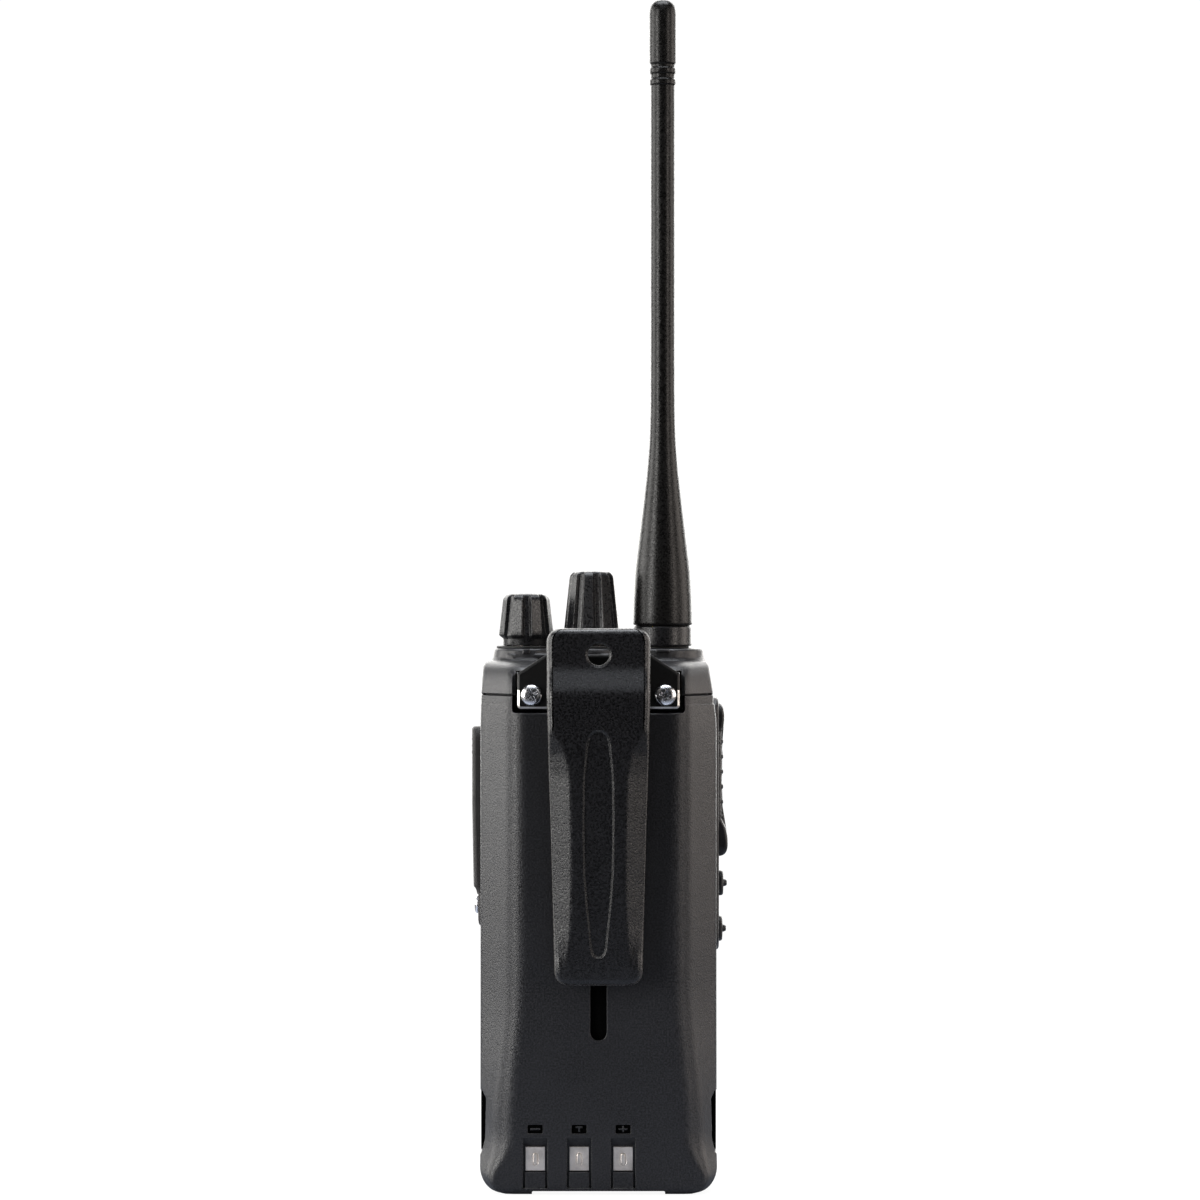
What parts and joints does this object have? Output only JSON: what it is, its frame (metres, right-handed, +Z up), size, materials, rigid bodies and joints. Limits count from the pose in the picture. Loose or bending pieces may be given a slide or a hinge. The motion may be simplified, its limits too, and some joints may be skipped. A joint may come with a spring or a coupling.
{
  "type": "handheld two-way radio",
  "caption": "Handheld two-way radio with a whip antenna, rotary knobs, a press-to-talk key, a slide-on battery pack and a sprung belt clip.",
  "frame": {"origin": "on the flat base, midway between the two sides, 18 mm behind the loudspeaker face", "axes": "+Z up along the antenna; +Y backwards, out of the belt clip side; +X to the side with the accessory socket cover, so the press-to-talk key is at -X"},
  "size_m": [0.0595, 0.0431, 0.2746],
  "materials": {
    "case_plastic": "fine spark-eroded black polycarbonate",
    "battery_plastic": "fine spark-eroded black polycarbonate",
    "clip_plastic": "satin black nylon with a fine grain",
    "knob_plastic": "satin black, softly polished on the lobes",
    "antenna_rubber": "smooth satin black moulding",
    "key_rubber": "black silicone, satin",
    "cover_rubber": "matt black elastomer",
    "seal_rubber": "matt black",
    "component_plastic": "moulded black",
    "lens_plastic": "frosted clear, unlit",
    "speaker_cloth": "fine black weave",
    "chassis_alloy": "die cast",
    "bracket_steel": "black coated, bright on the sheared edges",
    "screw_steel": "bright plated",
    "spring_steel": "drawn wire",
    "contact_nickel": "satin nickel plate",
    "terminal_gold": "gold flash",
    "board_laminate": "green solder resist",
    "cell_wrap": "blue shrink film over an aluminium can"
  },
  "bodies": {
    "root": {"front_case": "case_plastic", "chassis": "chassis_alloy", "chassis_gasket": "seal_rubber", "main_board": "board_laminate", "shield_can": "contact_nickel", "loudspeaker": "component_plastic", "speaker_cloth": "speaker_cloth", "microphone": "contact_nickel", "microphone_boot": "seal_rubber", "status_lens": "lens_plastic", "volume_control": "contact_nickel", "volume_nut": "screw_steel", "volume_seal_ring": "seal_rubber", "channel_control": "contact_nickel", "channel_nut": "screw_steel", "channel_seal_ring": "seal_rubber", "antenna_socket": "terminal_gold", "antenna_seal_ring": "seal_rubber", "antenna_plug": "terminal_gold", "antenna_ring": "antenna_rubber", "antenna_whip": "antenna_rubber", "ptt_switch": "component_plastic", "side_switch_upper": "component_plastic", "side_switch_lower": "component_plastic", "side_board": "board_laminate", "jack_cover": "cover_rubber", "jack_block": "component_plastic", "jack_cover_screw": "screw_steel", "latch_spring_left": "spring_steel", "latch_spring_right": "spring_steel", "clip_bracket": "bracket_steel", "clip_pin": "spring_steel", "clip_spring": "spring_steel", "clip_screw_left": "screw_steel", "clip_screw_right": "screw_steel", "radio_terminal_minus": "terminal_gold", "radio_terminal_sense": "terminal_gold", "radio_terminal_plus": "terminal_gold"},
    "volume": {"volume_knob": "knob_plastic", "volume_shaft": "chassis_alloy"},
    "channel": {"channel_knob": "knob_plastic", "channel_shaft": "chassis_alloy"},
    "ptt": {"ptt_button": "key_rubber"},
    "key_upper": {"side_key_upper": "key_rubber"},
    "key_lower": {"side_key_lower": "key_rubber"},
    "clip": {"clip_paddle": "clip_plastic"},
    "latch": {"battery_latch": "case_plastic"},
    "battery": {"battery_shell": "battery_plastic", "battery_cover": "battery_plastic", "cell_lower": "cell_wrap", "cell_upper": "cell_wrap", "protection_board": "board_laminate", "charge_contact_minus": "contact_nickel", "charge_contact_sense": "contact_nickel", "charge_contact_plus": "contact_nickel", "pack_terminal_minus": "terminal_gold", "pack_terminal_sense": "terminal_gold", "pack_terminal_plus": "terminal_gold"}
  },
  "joints": [
    {"name": "clip_hinge", "type": "hinge", "parent": "root", "child": "clip", "pos_m": [0, 0.0196, 0.1174], "axis": [1, 0, 0], "range_deg": [0, 20], "stiffness_Nm_per_rad": 1.2, "springref_deg": -14.32, "deforming": ["clip_spring"]},
    {"name": "volume_turn", "type": "hinge", "parent": "root", "child": "volume", "pos_m": [0.0168, -0.0063, 0.13], "axis": [0, 0, 1], "range_deg": [-270, 0]},
    {"name": "channel_turn", "type": "hinge", "parent": "root", "child": "channel", "pos_m": [0.0015, -0.0063, 0.13], "axis": [0, 0, 1], "range_deg": [-337.5, 0]},
    {"name": "ptt_press", "type": "slide", "parent": "root", "child": "ptt", "axis": [1, 0, 0], "range_m": [0, 0.001], "stiffness_N_per_m": 3000, "springref_m": -0.0003},
    {"name": "key_upper_press", "type": "slide", "parent": "root", "child": "key_upper", "axis": [1, 0, 0], "range_m": [0, 0.0005], "stiffness_N_per_m": 4000, "springref_m": -0.0001},
    {"name": "key_lower_press", "type": "slide", "parent": "root", "child": "key_lower", "axis": [1, 0, 0], "range_m": [0, 0.0005], "stiffness_N_per_m": 4000, "springref_m": -0.0001},
    {"name": "latch_pull", "type": "slide", "parent": "root", "child": "latch", "axis": [0, -1, 0], "range_m": [0, 0.002], "stiffness_N_per_m": 1000, "springref_m": -0.001, "deforming": ["latch_spring_left", "latch_spring_right"]},
    {"name": "battery_slide", "type": "slide", "parent": "root", "child": "battery", "axis": [0, 0, -1], "range_m": [0, 0.01]}
  ]
}
